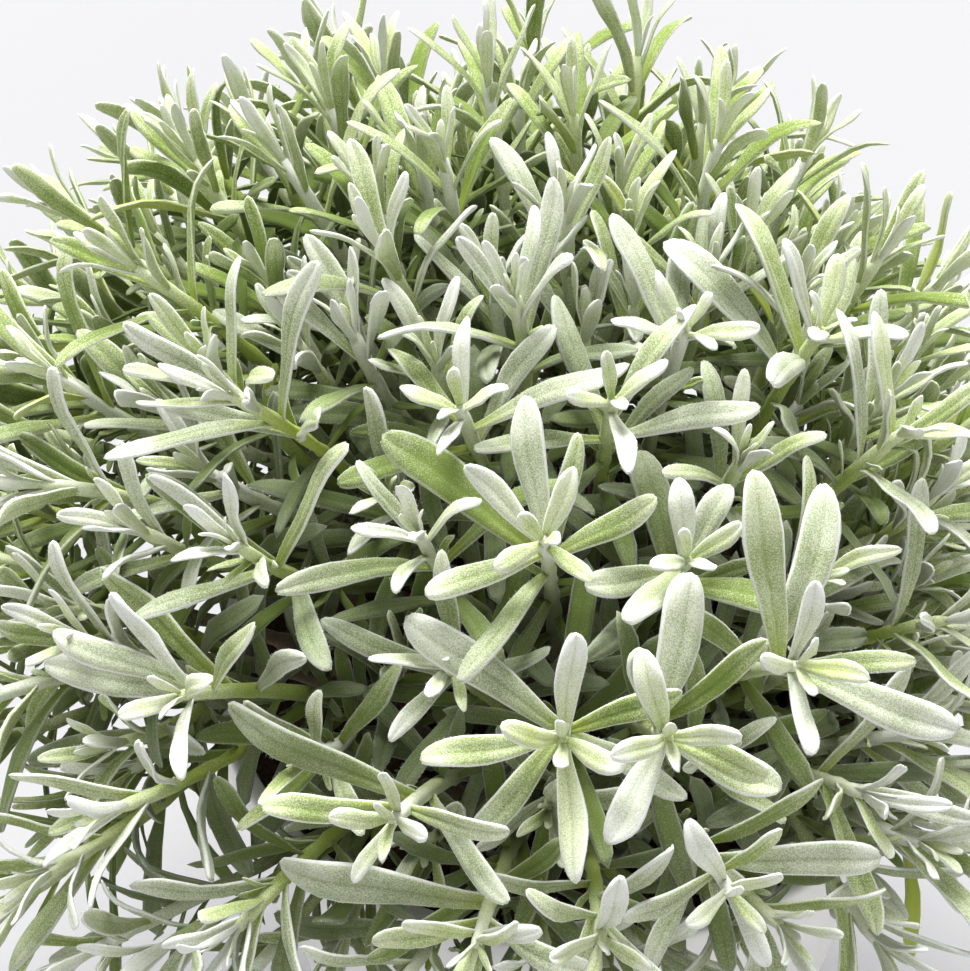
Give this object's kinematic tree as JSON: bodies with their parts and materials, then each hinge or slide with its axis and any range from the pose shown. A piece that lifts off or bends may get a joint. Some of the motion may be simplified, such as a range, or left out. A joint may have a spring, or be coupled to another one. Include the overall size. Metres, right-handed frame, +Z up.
{
  "type": "potted lavender plant",
  "caption": "Bushy woolly-leaved lavender in a plain round pot, with narrow felted silver-green leaves in opposite pairs on arching stems.",
  "frame": {"origin": "centre of the pot's flat underside", "axes": "+Z up out of the pot; -Y is the side that faces the viewer of the picture, +X to the right"},
  "size_m": [0.2558, 0.264, 0.2588],
  "materials": {
    "pot_plastic": "smooth white plastic with a soft satin sheen",
    "potting_mix": "damp dark peat and bark mix",
    "felted_foliage": "silver-green leaf under short white felt, matt"
  },
  "bodies": {
    "root": {"pot": "pot_plastic", "soil": "potting_mix", "leafy_stem_01": "felted_foliage", "leafy_stem_02": "felted_foliage", "leafy_stem_03": "felted_foliage", "leafy_stem_04": "felted_foliage", "leafy_stem_05": "felted_foliage", "leafy_stem_06": "felted_foliage", "leafy_stem_07": "felted_foliage", "leafy_stem_08": "felted_foliage", "leafy_stem_09": "felted_foliage", "leafy_stem_10": "felted_foliage", "leafy_stem_11": "felted_foliage", "leafy_stem_12": "felted_foliage", "leafy_stem_13": "felted_foliage", "leafy_stem_14": "felted_foliage", "leafy_stem_15": "felted_foliage", "leafy_stem_16": "felted_foliage", "leafy_stem_17": "felted_foliage", "leafy_stem_18": "felted_foliage", "leafy_stem_19": "felted_foliage", "leafy_stem_20": "felted_foliage", "leafy_stem_21": "felted_foliage", "leafy_stem_22": "felted_foliage", "leafy_stem_23": "felted_foliage", "leafy_stem_24": "felted_foliage", "leafy_stem_25": "felted_foliage", "leafy_stem_26": "felted_foliage", "leafy_stem_27": "felted_foliage", "leafy_stem_28": "felted_foliage", "leafy_stem_29": "felted_foliage", "leafy_stem_30": "felted_foliage", "leafy_stem_31": "felted_foliage", "leafy_stem_32": "felted_foliage", "leafy_stem_33": "felted_foliage", "leafy_stem_34": "felted_foliage", "leafy_stem_35": "felted_foliage", "leafy_stem_36": "felted_foliage", "leafy_stem_37": "felted_foliage", "leafy_stem_38": "felted_foliage", "leafy_stem_39": "felted_foliage", "leafy_stem_40": "felted_foliage", "leafy_stem_41": "felted_foliage", "leafy_stem_42": "felted_foliage", "leafy_stem_43": "felted_foliage", "leafy_stem_44": "felted_foliage", "leafy_stem_45": "felted_foliage", "leafy_stem_46": "felted_foliage", "leafy_stem_47": "felted_foliage", "leafy_stem_48": "felted_foliage", "leafy_stem_49": "felted_foliage", "leafy_stem_50": "felted_foliage"}
  },
  "joints": []
}
